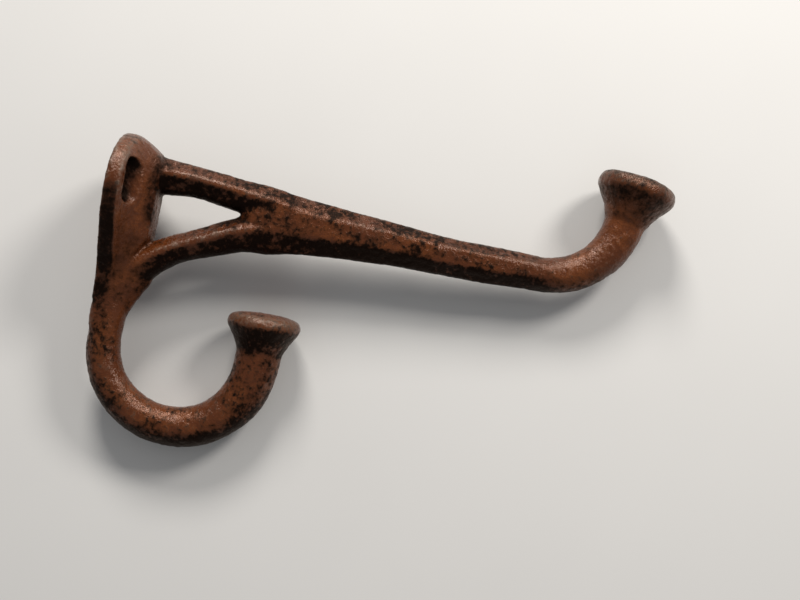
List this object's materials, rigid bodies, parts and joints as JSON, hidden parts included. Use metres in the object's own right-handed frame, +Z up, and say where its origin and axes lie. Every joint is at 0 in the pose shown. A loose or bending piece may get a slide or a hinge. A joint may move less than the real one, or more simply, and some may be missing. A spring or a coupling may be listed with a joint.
{
  "type": "cast iron hat and coat hook",
  "caption": "Rustic cast iron wall hook: a narrow screw plate, a long braced hat arm with an upturned knob, and a C-shaped coat hook with a knob below.",
  "frame": {"origin": "on the flat back of the wall plate, on its centre line at mid height", "axes": "+Z up the wall, +Y into the wall, the arms stand out towards -Y, X across; the plane X = 0 is the mirror plane"},
  "size_m": [0.0244, 0.1034, 0.0685],
  "materials": {
    "cast_iron": "rough sand cast, rubbed reddish brown over black",
    "rubbed_cast_iron": "rough sand cast, worn to a soft sheen by hands and coats"
  },
  "bodies": {
    "root": {"wall_plate": "cast_iron", "top_arm": "cast_iron", "arm_brace": "cast_iron", "arm_bar": "cast_iron", "hat_crook": "rubbed_cast_iron", "hat_knob": "rubbed_cast_iron", "hook_stem": "cast_iron", "coat_hook": "rubbed_cast_iron", "coat_knob": "rubbed_cast_iron"}
  },
  "joints": []
}
